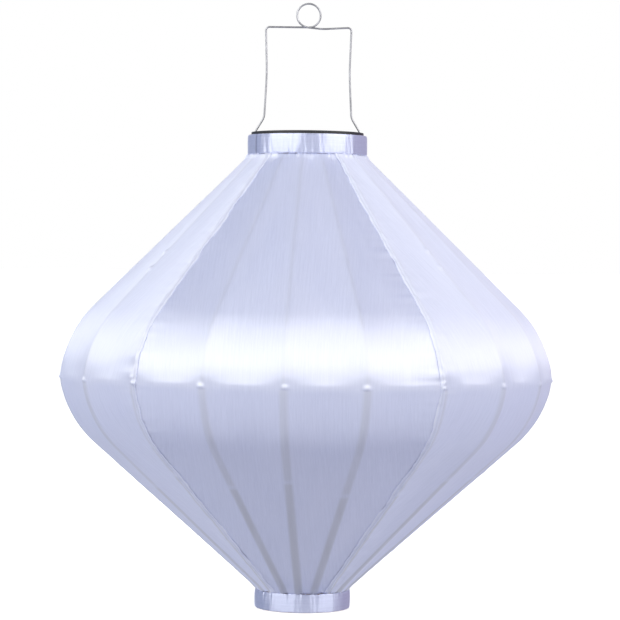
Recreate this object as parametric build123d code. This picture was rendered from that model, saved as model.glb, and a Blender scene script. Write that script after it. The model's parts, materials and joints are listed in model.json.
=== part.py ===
"""Bamboo-ribbed satin lantern on a wire bail, with a drop-in solar lamp.

Millimetres, +Z up, standing on z = 0. The front is -Y, and the bail hangs in the XZ plane.
Everything that repeats round the axis is made at +X and turned to its azimuth.
"""

import os
from math import cos, radians, sin, tan

from build123d import *

# The cage: bamboo splints round two wooden rings, spread by a steel hoop at the equator.
RIB_COUNT = 20
RIB_PITCH = 360 / RIB_COUNT
FIRST_RIB_AT = -4.5  # degrees from the front towards +X
RIB_WIDTH = 6.0
RIB_THICKNESS = 2.4
EQUATOR_R = 200.0  # outside of the cloth on a rib
EQUATOR_Z = 187.0

# Meridian of the cloth's outside along a rib. Slopes are measured from the vertical.
UPPER_SLOPE = 45.7
UPPER_BEND_R = 90.7
UPPER_LEAN = 5.3  # slope where the upper bend meets the equator crease
LOWER_SLOPE = 48.3
LOWER_BEND_R = 86.4
LOWER_LEAN = 8.2

# Satin skin: equal panels of a few gores each, sewn along ribs.
SATIN = 0.6
PANEL_COUNT = 5
PANEL_GORES = 4
FIRST_SEAM = -2  # the rib, counted from the first, where the first panel starts
SEAM_GAP = 0.03  # degrees
RIB_UNDER_SKIN = 1.2  # from the cloth's outside to the rib

# Wooden rings and the satin collars round them.
TOP_COLLAR_Z = (366.0, 381.8)
TOP_COLLAR_R = 48.0
BOTTOM_COLLAR_Z = (0.2, 15.0)
BOTTOM_COLLAR_R = 38.5
COLLAR_WALL = 0.7
RING_GAP = 0.2  # from a ring to its collar
TOP_RING_Z = (366.3, 376.5)
TOP_RING_BORE = 31.0
BOTTOM_RING_Z = (0.0, 14.8)
BOTTOM_RING_BORE = 27.0
SLOT_PLAY = 0.15  # round a rib's end, each side
TANG_TOP_R = 42.4  # inner face of a rib's upright end, in each ring
TANG_BOTTOM_R = 32.6
BINDING_WIRE = 1.0
HOOP_WIRE = 1.5
HOOP_R = 195.5

# Moulded cap with the bail's two pivot holes in its rim.
CAP_R = 45.4
CAP_RIM = 1.6
CAP_FLOOR = 2.0
CAP_TOP_Z = 384.3
WELL_R = 29.6
CAP_SCREW_R = 37.0  # circle of the three screws

# Bail: one length of wire with a full turn at the top.
BAIL_WIRE = 1.5
PIVOT_Z = 381.3
PIVOT_PLAY = 0.06
LOOP_R = 9.5
LOOP_Z = 479.0
LOOP_CORNERS = 12

# Lamp unit. It stands in the cap's well on its flange and lifts straight out.
LAMP_FLANGE_R = 31.5
LAMP_FLANGE = 1.8
LAMP_R = 29.2
LAMP_WALL = 1.6
LAMP_Z = (348.0, 378.5)  # underside of the base, underside of the flange
BASE_PLATE = 2.0
GASKET = 1.0
CELL = 38.0
LENS_AT = -7.0
LENS_R = 8.0
BATTERY_AT = (11.0, 357.6)  # y, z of its axis
BATTERY_R = 5.25
BATTERY_LENGTH = 30.0
BATTERY_DOOR = (36.0, 14.0)
BOSS_R = 3.0
BOSS_CIRCLE = 23.0
BOSS_ANGLES = (90, 210, 330)
SWITCH_AT = (-1.5, -19.0)
SWITCH_TRAVEL = 3.0
SWITCH_KNOB = (4.0, 2.6, 3.6)
BOARD_Z = 358.0
BOARD_HALF = (15.0, 7.0)
BOARD = 1.2

HALF_PITCH = radians(RIB_PITCH / 2)
LASHING_TILT = 30.0


def turned(shape, azimuth):
    """A shape made at +X, moved to an azimuth measured from the front towards +X."""
    return Rot(0, 0, azimuth - 90) * shape


def disc(radius, low, high, x=0.0, y=0.0):
    """An upright cylinder between two heights."""
    return Pos(x, y, (low + high) / 2) * Cylinder(radius, high - low)


def ring(outer, inner, low, high):
    """A plain upright ring between two heights."""
    return disc(outer, low, high) - disc(inner, low - 1, high + 1)


def block(low, high):
    """A box between two corners."""
    size = [b - a for a, b in zip(low, high)]
    middle = [(a + b) / 2 for a, b in zip(low, high)]
    return Pos(*middle) * Box(*size)


def tube(points, radii, wire):
    """Round wire along straight runs joined by tangent arcs."""
    path = FilletPolyline(*points, radius=radii)
    start = Plane(origin=path @ 0, z_dir=path % 0)
    return sweep(start * Circle(wire / 2), path=path)


# Meridian geometry


def on_bend(upper, slope, depth):
    """A point of the upper or lower bend, where the meridian has this slope, at a depth under the skin."""
    bend, lean, side = (UPPER_BEND_R, UPPER_LEAN, 1) if upper else (LOWER_BEND_R, LOWER_LEAN, -1)
    centre_r = EQUATOR_R - bend * cos(radians(lean))
    centre_z = EQUATOR_Z - side * bend * sin(radians(lean))
    reach = bend - depth
    return (centre_r + reach * cos(radians(slope)), centre_z + side * reach * sin(radians(slope)))


def crease(depth):
    """The corner at the equator, at a depth under the skin."""
    half_turn = radians((UPPER_LEAN + LOWER_LEAN) / 2)
    facing = radians((UPPER_LEAN - LOWER_LEAN) / 2)
    reach = depth / cos(half_turn)
    return (EQUATOR_R - reach * cos(facing), EQUATOR_Z - reach * sin(facing))


def r_at(upper, depth, z):
    """Radius of the straight part above or below the bends, at a height."""
    slope, side = (UPPER_SLOPE, 1) if upper else (LOWER_SLOPE, -1)
    bend_r, bend_z = on_bend(upper, slope, depth)
    return bend_r - side * (z - bend_z) * tan(radians(slope))


def z_at(upper, depth, r):
    """Height of the straight part above or below the bends, at a radius."""
    slope, side = (UPPER_SLOPE, 1) if upper else (LOWER_SLOPE, -1)
    bend_r, bend_z = on_bend(upper, slope, depth)
    return bend_z + side * (bend_r - r) / tan(radians(slope))


def meridian(depth, top, bottom, squeeze=1.0):
    """Edges from the top ends, down over both bends and the crease, to the bottom ends.

    top and bottom are lists of points past the straight parts; squeeze narrows all radii.
    """
    middle = [
        on_bend(True, UPPER_SLOPE, depth),
        on_bend(True, (UPPER_SLOPE + UPPER_LEAN) / 2, depth),
        crease(depth),
        on_bend(False, (LOWER_SLOPE + LOWER_LEAN) / 2, depth),
        on_bend(False, LOWER_SLOPE, depth),
    ]
    points = [(r * squeeze, 0, z) for r, z in [*top, *middle, *bottom]]
    start = len(top)
    upper_ends = [Edge.make_line(a, b) for a, b in zip(points[:start], points[1 : start + 1])]
    upper_bend = Edge.make_three_point_arc(*points[start : start + 3])
    lower_bend = Edge.make_three_point_arc(*points[start + 2 : start + 5])
    tail = points[start + 4 :]
    lower_ends = [Edge.make_line(a, b) for a, b in zip(tail[:-1], tail[1:])]
    return [*upper_ends, upper_bend, lower_bend, *lower_ends], points[0], points[-1]


def strip(outer, inner):
    """The face between two meridians."""
    outer_edges, outer_top, outer_bottom = outer
    inner_edges, inner_top, inner_bottom = inner
    caps = [Edge.make_line(outer_top, inner_top), Edge.make_line(outer_bottom, inner_bottom)]
    return Face(Wire([*outer_edges, *caps, *inner_edges]))


# Cage


def lashing_loop(half_width, low_r, high_r, height):
    """A block across a rib at the equator, tilted as the lashing is."""
    lashing = block((low_r, -half_width, -height / 2), (high_r, half_width, height / 2))
    return Pos(0, 0, EQUATOR_Z) * Rot(LASHING_TILT, 0, 0) * lashing


def rib():
    """A bamboo splint with upright ends for the rings and a notch for its lashing."""
    sides = []
    for depth, step in ((RIB_UNDER_SKIN, RIB_THICKNESS), (RIB_UNDER_SKIN + RIB_THICKNESS, 0.0)):
        top_r = TANG_TOP_R + step
        bottom_r = TANG_BOTTOM_R + step
        top = [(top_r, TOP_RING_Z[1] - 0.3), (top_r, z_at(True, depth, top_r))]
        bottom = [(bottom_r, z_at(False, depth, bottom_r)), (bottom_r, BOTTOM_RING_Z[0] + 1.5)]
        sides.append(meridian(depth, top, bottom))
    splint = extrude(strip(*sides), RIB_WIDTH / 2, dir=(0, 1, 0), both=True)
    notch_r = EQUATOR_R - RIB_UNDER_SKIN - 1.35
    return splint - lashing_loop(RIB_WIDTH, notch_r, EQUATOR_R, 1.2)


def slotted_ring(outer, bore, low, high, tang_r):
    """A turned wooden ring with a slot for each rib and a groove for the binding wire."""
    blank = ring(outer, bore, low, high)
    half_slot = RIB_WIDTH / 2 + SLOT_PLAY
    floor_r = tang_r - SLOT_PLAY
    slot = block((floor_r, -half_slot, low - 1), (outer + 1, half_slot, high + 1))
    groove_z = (low + high) / 2
    groove_half = BINDING_WIRE / 2 + 0.2
    groove_floor = tang_r + RIB_THICKNESS
    blank -= ring(outer + 1, groove_floor, groove_z - groove_half, groove_z + groove_half)
    for number in range(RIB_COUNT):
        blank -= turned(slot, FIRST_RIB_AT + number * RIB_PITCH)
    return blank


def top_ring():
    """The upper ring, with pilot holes for the cap's screws."""
    outer = TOP_COLLAR_R - COLLAR_WALL - RING_GAP
    body = slotted_ring(outer, TOP_RING_BORE, *TOP_RING_Z, TANG_TOP_R)
    return body - cap_screws(0.05)


def bottom_ring():
    """The lower ring, which the lantern stands on."""
    outer = BOTTOM_COLLAR_R - COLLAR_WALL - RING_GAP
    body = slotted_ring(outer, BOTTOM_RING_BORE, *BOTTOM_RING_Z, TANG_BOTTOM_R)
    return chamfer(body.edges().filter_by(GeomType.CIRCLE).sort_by(SortBy.RADIUS)[:2], 0.8)


def binding(tang_r, ring_z):
    """A turn of wire that holds the ribs' ends in their slots."""
    middle_r = tang_r + RIB_THICKNESS + BINDING_WIRE / 2 + 0.1
    return Pos(0, 0, sum(ring_z) / 2) * Torus(middle_r, BINDING_WIRE / 2)


def equator_hoop():
    """The stiff wire hoop inside the ribs."""
    return Pos(0, 0, EQUATOR_Z) * Torus(HOOP_R, HOOP_WIRE / 2)


def hoop_lashings():
    """The thread loops that tie the ribs to the hoop, one to a rib."""
    back = HOOP_R - HOOP_WIRE / 2
    front = EQUATOR_R - RIB_UNDER_SKIN - 0.8
    cord = 0.5
    outside = lashing_loop(4.5, back - 0.1 - cord, front, 1.0)
    loop = outside - lashing_loop(4.5 - 0.6, back - 0.1, front - cord, 3.0)
    return [turned(loop, FIRST_RIB_AT + number * RIB_PITCH) for number in range(RIB_COUNT)]


# Satin


def gore():
    """One flat-spun gore between two ribs, centred on +X."""
    squeeze = cos(HALF_PITCH)
    top_z = TOP_COLLAR_Z[0] - 0.1
    bottom_z = BOTTOM_COLLAR_Z[1] + 0.1
    sides = []
    for depth in (0.0, SATIN):
        top = [(r_at(True, depth, top_z), top_z)]
        bottom = [(r_at(False, depth, bottom_z), bottom_z)]
        sides.append(meridian(depth, top, bottom, squeeze))
    reach = EQUATOR_R * 1.1
    half = reach * tan(HALF_PITCH)
    slab = extrude(strip(*sides), half, dir=(0, 1, 0), both=True)
    wedge = Polyline((0, 0), (reach, -half), (reach, half), close=True)
    return slab & extrude(make_face(wedge), TOP_COLLAR_Z[1])


def sector(start, end):
    """A pie slice between two azimuths, a little inside both."""
    reach = EQUATOR_R * 1.5
    corners = [(0, 0)]
    steps = 4
    for number in range(steps + 1):
        share = number / steps
        azimuth = radians(start + SEAM_GAP + (end - start - 2 * SEAM_GAP) * share)
        corners.append((reach * sin(azimuth), -reach * cos(azimuth)))
    return extrude(make_face(Polyline(*corners, close=True)), TOP_COLLAR_Z[1])


def satin_panel(one_gore, first_rib):
    """A panel of joined gores from one seam rib to the next."""
    start = FIRST_RIB_AT + first_rib * RIB_PITCH
    pieces = [turned(one_gore, start + (number + 0.5) * RIB_PITCH) for number in range(PANEL_GORES)]
    joined = pieces[0].fuse(*pieces[1:])
    return joined & sector(start, start + PANEL_GORES * RIB_PITCH)


def collar(outer, z_range):
    """A satin band round a ring."""
    return ring(outer, outer - COLLAR_WALL, *z_range)


# Cap and bail


def cap_screws(play=0.0):
    """Three countersunk wood screws, or the holes that clear them."""
    floor_z = TOP_RING_Z[1] + CAP_FLOOR
    head_r = 2.4
    shank = Cylinder(1.1 + play, 9.0, align=(Align.CENTER, Align.CENTER, Align.MAX))
    head = Cone(1.1 + play, head_r + play, 1.3, align=(Align.CENTER, Align.CENTER, Align.MAX))
    screw = Pos(CAP_SCREW_R, 0, floor_z) * (shank + head)
    return [turned(screw, azimuth) for azimuth in (30, 150, 270)]


def top_cap():
    """A shallow black dish on the upper ring, with a well for the lamp."""
    floor_z = TOP_RING_Z[1]
    dish = disc(CAP_R, floor_z, CAP_TOP_Z)
    dish -= disc(CAP_R - CAP_RIM, floor_z + CAP_FLOOR, CAP_TOP_Z + 1)
    dish -= disc(WELL_R, floor_z - 1, floor_z + CAP_FLOOR + 1)
    dish = fillet(dish.faces().sort_by(Axis.Z)[-1].edges(), 0.4)
    dish -= cap_screws(0.05)
    pivots = Pos(0, 0, PIVOT_Z) * Rot(0, 90, 0) * Cylinder(BAIL_WIRE / 2 + PIVOT_PLAY, 3 * CAP_R)
    return dish - pivots


def bail():
    """A wire from pivot to pivot: foot, leg, shoulder, a full turn, and down the other side."""
    bar_z = LOOP_Z - LOOP_R
    leg = [
        (46.2, PIVOT_Z, None),
        (42.3, PIVOT_Z, 1.2),
        (41.9, 385.5, 5.0),
        (35.2, 396.5, 12.0),
        (33.4, 432.0, 250.0),
        (34.6, bar_z, 2.8),
    ]
    points = [(-x, 0, z) for x, z, _ in leg]
    radii = [radius for _, _, radius in leg[1:]]
    spread = 1.0
    corner_r = LOOP_R / cos(radians(180 / LOOP_CORNERS))
    for number in range(LOOP_CORNERS):
        share = number / (LOOP_CORNERS - 1)
        angle = radians(-90 + 360 * (number + 0.5) / LOOP_CORNERS)
        y = spread * (1 - 2 * share)
        points.append((corner_r * cos(angle), y, LOOP_Z + corner_r * sin(angle)))
        radii.append(LOOP_R * 0.96)
    points.append((11.0, -spread * 0.8, bar_z - 1.4))
    radii.append(40.0)
    points += [(x, 0, z) for x, z, _ in reversed(leg)]
    radii += [radius for _, _, radius in reversed(leg[1:])]
    return tube(points, radii, BAIL_WIRE)


# Lamp unit


def around(circle, angles):
    """Places on a circle, as x and y."""
    return [(circle * cos(radians(a)), circle * sin(radians(a))) for a in angles]


def lamp_housing():
    """The upper shell: flange, wall, a recess for the cell, and three screw bosses."""
    low = LAMP_Z[0] + BASE_PLATE + GASKET
    flange_z = LAMP_Z[1]
    top = flange_z + LAMP_FLANGE
    shell = disc(LAMP_R, low, flange_z) + disc(LAMP_FLANGE_R, flange_z, top)
    shell = fillet(shell.faces().sort_by(Axis.Z)[-1].edges(), 0.6)
    shell -= disc(LAMP_R - LAMP_WALL, low - 1, flange_z - 1.6)
    for x, y in around(BOSS_CIRCLE, BOSS_ANGLES):
        shell += disc(BOSS_R, low + 1.5, flange_z - 1.5, x, y)
        shell -= disc(1.05, low, low + 11, x, y)
    window = CELL + 1.8
    shell -= block((-window / 2, -window / 2, top - 1.4), (window / 2, window / 2, top + 1))
    for x in (-6, 6):
        shell -= disc(1.2, flange_z - 3, top, x, LENS_AT - 3)
    return shell


def lamp_base():
    """The lower shell: plate, spigot, and openings for the lens, battery, switch and screws."""
    low = LAMP_Z[0]
    top = low + BASE_PLATE
    spigot_r = LAMP_R - LAMP_WALL - 0.1
    base = disc(LAMP_R, low, top) + ring(spigot_r, spigot_r - 1.2, top - 0.1, top + 3.5)
    base = fillet(base.faces().sort_by(Axis.Z)[0].outer_wire().edges(), 0.8)
    for x, y in around(BOSS_CIRCLE, BOSS_ANGLES):
        base -= disc(BOSS_R + 0.2, top, top + 5, x, y)
    for x, y in around(BOSS_CIRCLE, BOSS_ANGLES):
        base += disc(BOSS_R - 0.2, top - 0.1, top + GASKET + 1.4, x, y)
        base -= disc(1.3, low - 1, top + 5, x, y)
        base -= disc(2.3, low - 1, low + 1.0, x, y)
    base -= disc(LENS_R, low - 1, top + 1, 0, LENS_AT)
    length, width = (side / 2 + 0.15 for side in BATTERY_DOOR)
    y = BATTERY_AT[0]
    base -= block((-length, y - width, low - 1), (length, y + width, top + 1))
    knob_x, knob_y, _ = SWITCH_KNOB
    x, y = SWITCH_AT
    base -= block(
        (x - knob_x / 2 - 0.2, y - knob_y / 2 - 0.15, low - 1),
        (x + knob_x / 2 + SWITCH_TRAVEL + 0.2, y + knob_y / 2 + 0.15, top + 1),
    )
    return base


def housing_screws():
    """Three pan-head screws up through the base into the bosses."""
    low = LAMP_Z[0]
    screws = []
    for x, y in around(BOSS_CIRCLE, BOSS_ANGLES):
        head = disc(2.1, low + 0.1, low + 1.0, x, y)
        screws.append(head + disc(1.0, low + 0.9, low + 12.0, x, y))
    return screws


def lamp_gasket():
    """A flat seal between the two shells."""
    top = LAMP_Z[0] + BASE_PLATE
    return ring(LAMP_R - 0.1, LAMP_R - LAMP_WALL + 0.05, top, top + GASKET)


def solar_cell():
    """The cell in its recess."""
    low = LAMP_Z[1] + LAMP_FLANGE - 1.4
    return block((-CELL / 2, -CELL / 2, low), (CELL / 2, CELL / 2, low + 0.6))


def cell_window():
    """The clear cover over the cell."""
    top = LAMP_Z[1] + LAMP_FLANGE
    side = CELL / 2 + 0.8
    return block((-side, -side, top - 0.75), (side, side, top))


def circuit_board():
    """The board above the lens, with its charging chip and coil."""
    half_x, half_y = BOARD_HALF
    y = LENS_AT - 2
    board = block((-half_x, y - half_y, BOARD_Z), (half_x, y + half_y, BOARD_Z + BOARD))
    chip = block((-2.5, y + 1, BOARD_Z + BOARD), (2.5, y + 5, BOARD_Z + BOARD + 1.4))
    coil = disc(2.0, BOARD_Z + BOARD, BOARD_Z + BOARD + 4.5, 9.5, y + 2)
    for x in (-6, 6):
        board -= disc(0.9, BOARD_Z - 1, BOARD_Z + 3, x, LENS_AT - 3)
    return board + chip + coil


def cell_leads():
    """Two leads from the cell down to the board."""
    top = LAMP_Z[1] + LAMP_FLANGE - 1.4
    return [disc(0.7, BOARD_Z, top, x, LENS_AT - 3) for x in (-6, 6)]


def led():
    """A five-millimetre lamp that points down."""
    lens = disc(2.5, BOARD_Z - 6.0, BOARD_Z - 0.9, 0, LENS_AT)
    tip = Pos(0, LENS_AT, BOARD_Z - 6.0) * Sphere(2.5)
    return lens + tip + disc(2.9, BOARD_Z - 0.9, BOARD_Z, 0, LENS_AT)


def led_lens():
    """The frosted dome that spreads the light, hollow above."""
    low = LAMP_Z[0]
    swell = 12.0
    depth = 3.0
    ball = Pos(0, LENS_AT, low - depth + swell) * (Sphere(swell) - Sphere(swell - 1.2))
    dome = ball & disc(LENS_R - 0.1, low - depth - 1, low + 1.0, 0, LENS_AT)
    wall = disc(LENS_R - 0.1, low, low + BASE_PLATE, 0, LENS_AT)
    wall -= disc(LENS_R - 1.4, low - 1, low + BASE_PLATE + 1, 0, LENS_AT)
    lip = disc(LENS_R + 1.0, low + BASE_PLATE, low + BASE_PLATE + 0.8, 0, LENS_AT)
    lip -= disc(LENS_R - 1.4, low, low + 5, 0, LENS_AT)
    return dome + wall + lip


def battery():
    """A short rechargeable cell, lying along X."""
    y, z = BATTERY_AT
    can = Rot(0, 90, 0) * Cylinder(BATTERY_R, BATTERY_LENGTH - 1.0)
    button = Rot(0, 90, 0) * Cylinder(1.9, 1.2)
    return Pos(-0.5, y, z) * can + Pos(BATTERY_LENGTH / 2 - 0.5, y, z) * button


def battery_contacts():
    """A plate at each end of the battery."""
    y, z = BATTERY_AT
    inner = BATTERY_LENGTH / 2 + 0.1
    plates = []
    for side in (-1, 1):
        near, far = sorted((side * inner, side * (inner + 0.5)))
        plates.append(block((near, y - 4, z - 4), (far, y + 4, z + 5)))
    return plates


def battery_leads():
    """A lead from each contact to the board."""
    y, z = BATTERY_AT
    x = BATTERY_LENGTH / 2 + 0.6
    board_y = LENS_AT + 1
    top = z + 7
    leads = []
    for side in (-1, 1):
        points = [
            (side * (x + 0.55), y - 2, z + 3),
            (side * (x + 0.55), y - 2, top),
            (side * 12, board_y, top),
            (side * 12, board_y, BOARD_Z + BOARD),
        ]
        leads.append(tube(points, [1.5, 1.5], 1.0))
    return leads


def battery_cover():
    """The plate under the battery, flush with the base, with a screw ear."""
    low = LAMP_Z[0]
    length, width = (side / 2 for side in BATTERY_DOOR)
    y = BATTERY_AT[0]
    plate = block((-length, y - width, low), (length, y + width, low + BASE_PLATE))
    plate -= disc(2.0, low - 1, low + 0.9, length - 3.5, y)
    return plate - disc(1.1, low - 1, low + 5, length - 3.5, y)


def cover_screw():
    """The small screw that holds the battery cover."""
    low = LAMP_Z[0]
    x = BATTERY_DOOR[0] / 2 - 3.5
    y = BATTERY_AT[0]
    return disc(1.8, low + 0.1, low + 0.9, x, y) + disc(0.95, low + 0.8, low + 3.0, x, y)


def switch_case():
    """The body of the slide switch, with the knob's way cut out below."""
    x, y = SWITCH_AT
    low = LAMP_Z[0] + BASE_PLATE
    knob_x, knob_y, _ = SWITCH_KNOB
    case = block((x - 3.2, y - 2.2, low), (x + 6.2, y + 2.2, low + 4.0))
    return case - block(
        (x - knob_x / 2 - 0.2, y - knob_y / 2 - 0.15, low - 1),
        (x + knob_x / 2 + SWITCH_TRAVEL + 0.2, y + knob_y / 2 + 0.15, low + 2.6),
    )


def switch_slider():
    """The knob, just proud of the underside, with a grip notch."""
    x, y = SWITCH_AT
    length, width, height = SWITCH_KNOB
    low = LAMP_Z[0] - 0.8
    knob = block((x - length / 2, y - width / 2, low), (x + length / 2, y + width / 2, low + height))
    for step in (-1.2, 0, 1.2):
        knob -= block((x + step - 0.2, y - width, low - 1), (x + step + 0.2, y + width, low + 0.4))
    return knob


def save(name, shape):
    """Write one node as a STEP file."""
    solids = shape if isinstance(shape, list) else [shape]
    whole = solids[0] if len(solids) == 1 else Compound(children=solids)
    export_step(whole, f"parts/{name}.step")


def main():
    os.makedirs("parts", exist_ok=True)
    one_rib = rib()
    for number in range(RIB_COUNT):
        save(f"rib_{number + 1:02d}", turned(one_rib, FIRST_RIB_AT + number * RIB_PITCH))
    one_gore = gore()
    for number in range(PANEL_COUNT):
        panel = satin_panel(one_gore, FIRST_SEAM + number * PANEL_GORES)
        save(f"satin_panel_{number + 1}", panel)
    save("top_ring", top_ring())
    save("bottom_ring", bottom_ring())
    save("top_binding", binding(TANG_TOP_R, TOP_RING_Z))
    save("bottom_binding", binding(TANG_BOTTOM_R, BOTTOM_RING_Z))
    save("equator_hoop", equator_hoop())
    save("hoop_lashings", hoop_lashings())
    save("top_collar", collar(TOP_COLLAR_R, TOP_COLLAR_Z))
    save("bottom_collar", collar(BOTTOM_COLLAR_R, BOTTOM_COLLAR_Z))
    save("top_cap", top_cap())
    save("cap_screws", cap_screws())
    save("bail", bail())
    lamp_parts = (
        lamp_housing,
        lamp_base,
        lamp_gasket,
        housing_screws,
        solar_cell,
        cell_window,
        circuit_board,
        cell_leads,
        led,
        led_lens,
        battery,
        battery_contacts,
        battery_leads,
        battery_cover,
        cover_screw,
        switch_case,
        switch_slider,
    )
    for make in lamp_parts:
        save(make.__name__, make())


main()
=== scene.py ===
"""Satin lantern: cloth, seams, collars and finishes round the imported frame. Metres, +Z up, front -Y."""

import json
import math

import bpy
import numpy as np
from mathutils import Matrix, Vector


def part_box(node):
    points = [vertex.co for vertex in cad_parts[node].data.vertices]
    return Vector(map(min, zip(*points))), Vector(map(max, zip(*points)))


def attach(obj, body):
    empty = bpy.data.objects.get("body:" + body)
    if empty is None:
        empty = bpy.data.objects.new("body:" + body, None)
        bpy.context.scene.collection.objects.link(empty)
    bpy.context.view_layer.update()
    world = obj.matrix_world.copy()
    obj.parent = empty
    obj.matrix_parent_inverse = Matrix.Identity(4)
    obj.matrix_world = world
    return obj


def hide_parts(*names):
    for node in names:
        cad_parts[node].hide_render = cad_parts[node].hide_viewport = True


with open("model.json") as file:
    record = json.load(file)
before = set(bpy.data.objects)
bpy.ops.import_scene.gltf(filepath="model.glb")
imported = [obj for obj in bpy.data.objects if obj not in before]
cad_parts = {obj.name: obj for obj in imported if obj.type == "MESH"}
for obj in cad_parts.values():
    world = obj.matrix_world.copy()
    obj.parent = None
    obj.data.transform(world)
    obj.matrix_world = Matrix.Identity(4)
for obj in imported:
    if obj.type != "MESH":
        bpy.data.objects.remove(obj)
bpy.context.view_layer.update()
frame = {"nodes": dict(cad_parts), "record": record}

MM = 0.001

# The cage, as the CAD has it. Azimuths are from the front towards +X.
RIB_COUNT = 20
PITCH = math.radians(360 / RIB_COUNT)
FIRST_RIB = math.radians(-4.5)
PANEL_COUNT = 5
PANEL_GORES = 4
FIRST_SEAM = -2
PANEL_LAPS = ((0, 0), (1, 1), (0, 1), (0, 1), (0, 1))  # which ends of a panel lie over its neighbour
RIB_HALF = 3.0 * MM
CREASE_HALF = 9.0 * MM  # the fold over the hoop is rounded this far up and down
EQUATOR_R = 200 * MM
UPPER = {"slope": math.radians(45.7), "lean": math.radians(5.3), "bend": 90.7 * MM}
LOWER = {"slope": math.radians(48.3), "lean": math.radians(8.2), "bend": 86.4 * MM}
CREASE_TURN = UPPER["lean"] + LOWER["lean"]
hoop_low, hoop_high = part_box("equator_hoop")
EQUATOR_Z = (hoop_low.z + hoop_high.z) / 2
TOP_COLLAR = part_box("top_collar")
BOTTOM_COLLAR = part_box("bottom_collar")

rng = np.random.default_rng(11)


# ---------------------------------------------------------------- noise and mesh helpers


def lattice_noise(x, y, seed):
    """Smooth noise from -1 to 1 with one lattice cell to a unit, the same every run."""
    x, y = np.broadcast_arrays(np.asarray(x, float), np.asarray(y, float))
    xi, yi = np.floor(x).astype(np.int64), np.floor(y).astype(np.int64)
    fx, fy = x - xi, y - yi
    fx, fy = fx * fx * (3 - 2 * fx), fy * fy * (3 - 2 * fy)

    def corner(i, j):
        h = (i * 374761393 + j * 668265263 + seed * 974634777) & 0x7FFFFFFF
        h = ((h ^ (h >> 13)) * 1274126177) & 0x7FFFFFFF
        return ((h ^ (h >> 16)) & 0xFFFF) / 32767.5 - 1

    low = corner(xi, yi) * (1 - fx) + corner(xi + 1, yi) * fx
    high = corner(xi, yi + 1) * (1 - fx) + corner(xi + 1, yi + 1) * fx
    return low * (1 - fy) + high * fy


def smooth(x):
    """0 below 0, 1 above 1, and a smooth step between."""
    x = np.clip(x, 0, 1)
    return x * x * (3 - 2 * x)


def grid_mesh(name, points, closed=False, uv=None, attributes=None):
    """A mesh from rows by columns of points; closed joins the last column to the first."""
    rows, columns = points.shape[:2]
    across = columns if closed else columns - 1
    index = np.arange(rows * columns).reshape(rows, columns)
    left = index[:, :across]
    right = np.roll(index, -1, axis=1)[:, :across]
    quads = np.stack([left[:-1], left[1:], right[1:], right[:-1]], -1).reshape(-1, 4)
    mesh = bpy.data.meshes.new(name)
    mesh.vertices.add(rows * columns)
    mesh.vertices.foreach_set("co", points.astype(np.float32).ravel())
    mesh.loops.add(quads.size)
    mesh.loops.foreach_set("vertex_index", quads.astype(np.int32).ravel())
    mesh.polygons.add(len(quads))
    mesh.polygons.foreach_set("loop_start", np.arange(0, quads.size, 4, dtype=np.int32))
    mesh.polygons.foreach_set("use_smooth", np.ones(len(quads), bool))
    mesh.update(calc_edges=True)
    if uv is not None:
        layer = mesh.uv_layers.new(name="cloth")
        flat = uv.reshape(-1, 2)[quads.ravel()]
        layer.data.foreach_set("uv", flat.astype(np.float32).ravel())
    for key, values in (attributes or {}).items():
        made = mesh.attributes.new(key, "FLOAT", "POINT")
        made.data.foreach_set("value", np.broadcast_to(values, (rows, columns)).astype(np.float32).ravel())
    mesh.validate()
    piece = bpy.data.objects.new(name, mesh)
    bpy.context.scene.collection.objects.link(piece)
    return piece


# ---------------------------------------------------------------- the satin skin's shape


def meridian_table():
    """Radius, height, slope and length down a rib's line, from the upper collar to the lower."""
    parts = []
    for bend, side, end_z in ((UPPER, 1, TOP_COLLAR[0].z), (LOWER, -1, BOTTOM_COLLAR[1].z)):
        centre_r = EQUATOR_R - bend["bend"] * math.cos(bend["lean"])
        centre_z = EQUATOR_Z - side * bend["bend"] * math.sin(bend["lean"])
        turn = np.linspace(bend["lean"], bend["slope"], 400)
        arc_r = centre_r + bend["bend"] * np.cos(turn)
        arc_z = centre_z + side * bend["bend"] * np.sin(turn)
        run_z = np.linspace(arc_z[-1], end_z, 400)[1:]
        run_r = arc_r[-1] - side * (run_z - arc_z[-1]) * math.tan(bend["slope"])
        slope = side * np.concatenate([turn, np.full(len(run_z), bend["slope"])])
        part = np.stack([np.concatenate([arc_r, run_r]), np.concatenate([arc_z, run_z]), slope])
        parts.append(part if side < 0 else part[:, ::-1])
    upper, lower = parts
    table = np.concatenate([upper, lower[:, 1:]], axis=1)
    step = np.hypot(np.diff(table[0]), np.diff(table[1]))
    length = np.concatenate([[0], np.cumsum(step)])
    return length, table[0], table[1], table[2], length[upper.shape[1] - 1]


LENGTH, TABLE_R, TABLE_Z, TABLE_SLOPE, CREASE = meridian_table()


def row_places():
    """Lengths down the skin for the mesh's rows, close together at the crease and the ends."""

    def run(start, end):
        places, sign = [start], math.copysign(1, end - start)
        while (end - places[-1]) * sign > 0:
            near = min(abs(places[-1] - start), abs(end - places[-1]))
            places.append(places[-1] + sign * (0.55 + 1.25 * min(1, near / (14 * MM))) * MM)
        places[-1] = end
        return places

    up = run(CREASE, 0)[::-1]
    down = run(CREASE, LENGTH[-1])
    return np.array(up + down[1:])


ROWS = row_places()

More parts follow.
